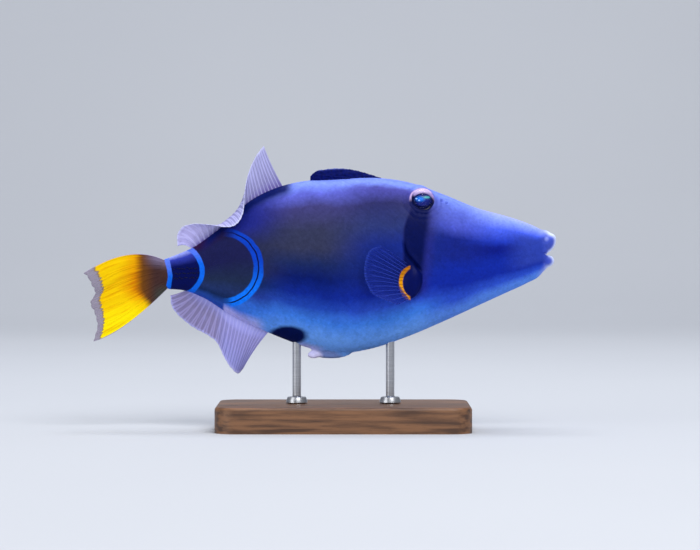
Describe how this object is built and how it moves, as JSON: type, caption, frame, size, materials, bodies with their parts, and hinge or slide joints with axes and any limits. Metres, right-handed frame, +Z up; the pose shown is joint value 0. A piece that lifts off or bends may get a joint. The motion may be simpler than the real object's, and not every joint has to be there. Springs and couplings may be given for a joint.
{
  "type": "picasso triggerfish",
  "caption": "Life-size picasso triggerfish model, swimming level with its fins spread, held above a flat wooden base by two short rods.",
  "frame": {"origin": "middle of the whole model in plan, at the level of the base's underside", "axes": "+X towards the snout, +Y to the fish's left, +Z up"},
  "size_m": [0.2202, 0.072, 0.1322],
  "materials": {
    "skin": "satin deep blue scaled skin",
    "fin_membrane": "satin pale violet fin skin",
    "tail_membrane": "satin yellow fin skin",
    "spiny_fin": "satin dark navy skin",
    "eye": "polished dark blue",
    "stand_wood": "oiled dark wood",
    "stand_steel": "brushed"
  },
  "bodies": {
    "root": {"head": "skin", "torso": "skin", "tail_stem": "skin", "eye_right": "eye", "eye_left": "eye", "spiny_dorsal_fin": "spiny_fin", "soft_dorsal_front": "fin_membrane", "soft_dorsal_rear": "fin_membrane", "anal_fin": "fin_membrane", "tail_fin": "tail_membrane", "pectoral_fin_right": "fin_membrane", "pectoral_fin_left": "fin_membrane", "pelvic_flap": "skin", "stand_base": "stand_wood", "stand_rod_front": "stand_steel", "stand_rod_rear": "stand_steel"}
  },
  "joints": []
}
